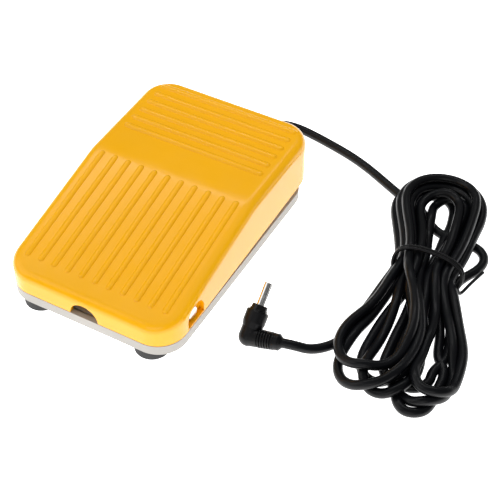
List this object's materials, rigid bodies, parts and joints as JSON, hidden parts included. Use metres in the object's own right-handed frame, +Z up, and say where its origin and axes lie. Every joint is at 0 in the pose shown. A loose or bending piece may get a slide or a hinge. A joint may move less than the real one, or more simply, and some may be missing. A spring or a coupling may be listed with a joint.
{
  "type": "foot switch pedal",
  "caption": "Heel-hinged plastic foot switch with a ribbed sloping cover on a low tray, and a round two-core lead tied in a hank with a right-angle barrel plug.",
  "frame": {"origin": "middle of the cover outline, on the floor under the feet", "axes": "+Z up; +Y from the low hinge end to the high toe end; +X to the right seen from the hinge end"},
  "size_m": [0.183, 0.1571, 0.0359],
  "materials": {
    "cover_yellow": "amber yellow, satin, faint moulded grain",
    "tray_grey": "warm light grey, fine matt texture",
    "foot_rubber": "dark grey, matt",
    "zinc_steel": "bright zinc plate",
    "pin_nickel": "nickel plate, dull turned face",
    "washer_nylon": "natural nylon",
    "spring_steel": "drawn wire, lightly oiled",
    "switch_black": "black moulded phenolic",
    "plunger_red": "red, semi-gloss",
    "lever_steel": "stamped stainless strip",
    "terminal_brass": "tinned brass, dull",
    "contact_bronze": "spring bronze",
    "gland_rubber": "black, matt",
    "clamp_black": "black moulded",
    "cord_pvc": "black PVC jacket, soft sheen",
    "core_red": "red core insulation",
    "core_white": "white core insulation",
    "tie_black": "black plastic-covered wire",
    "plug_pvc": "black overmoulded PVC, satin",
    "nose_black": "black hard plastic",
    "barrel_nickel": "bright nickel plate",
    "insulator_black": "black insulator",
    "contact_nickel": "gold-toned plated spring contact"
  },
  "bodies": {
    "base": {"base_tray": "tray_grey", "foot_front_left": "foot_rubber", "foot_front_right": "foot_rubber", "foot_rear_left": "foot_rubber", "foot_rear_right": "foot_rubber", "foot_screws": "zinc_steel", "hinge_pin_right": "pin_nickel", "hinge_pin_left": "pin_nickel", "hinge_washers": "washer_nylon", "return_spring": "spring_steel", "switch_case": "switch_black", "switch_lid": "switch_black", "switch_terminals": "terminal_brass", "switch_contact_blade": "contact_bronze", "switch_screws": "zinc_steel", "switch_nuts": "zinc_steel", "cable_gland": "gland_rubber", "cable_clamp": "clamp_black", "clamp_screws": "zinc_steel", "cord_inner": "cord_pvc", "core_common": "core_red", "core_switched": "core_white", "cord_lead": "cord_pvc", "cord_hank": "cord_pvc", "cord_tail": "cord_pvc", "hank_tie": "tie_black", "plug_moulding": "plug_pvc", "plug_nose": "nose_black", "plug_barrel": "barrel_nickel", "plug_insulator": "insulator_black", "plug_contact": "contact_nickel"},
    "cover": {"pedal_cover": "cover_yellow"},
    "lever": {"switch_lever": "lever_steel"},
    "plunger": {"switch_plunger": "plunger_red"}
  },
  "joints": [
    {"name": "cover_hinge", "type": "hinge", "parent": "base", "child": "cover", "pos_m": [0, -0.0408, 0.0138], "axis": [-1, 0, 0], "range_deg": [0, 1.8], "stiffness_Nm_per_rad": 10, "springref_deg": -1.72, "deforming": ["return_spring"]},
    {"name": "lever_hinge", "type": "hinge", "parent": "base", "child": "lever", "pos_m": [0, -0.0002, 0.0272], "axis": [-1, 0, 0], "range_deg": [0, 5.6]},
    {"name": "plunger_slide", "type": "slide", "parent": "base", "child": "plunger", "axis": [0, 0, -1], "range_m": [0, 0.0013]}
  ],
  "couplings": [
    {"joint": "lever_hinge", "follows": "cover_hinge", "ratio": 3.0609},
    {"joint": "plunger_slide", "follows": "cover_hinge", "m_per_rad": 0.040404}
  ]
}
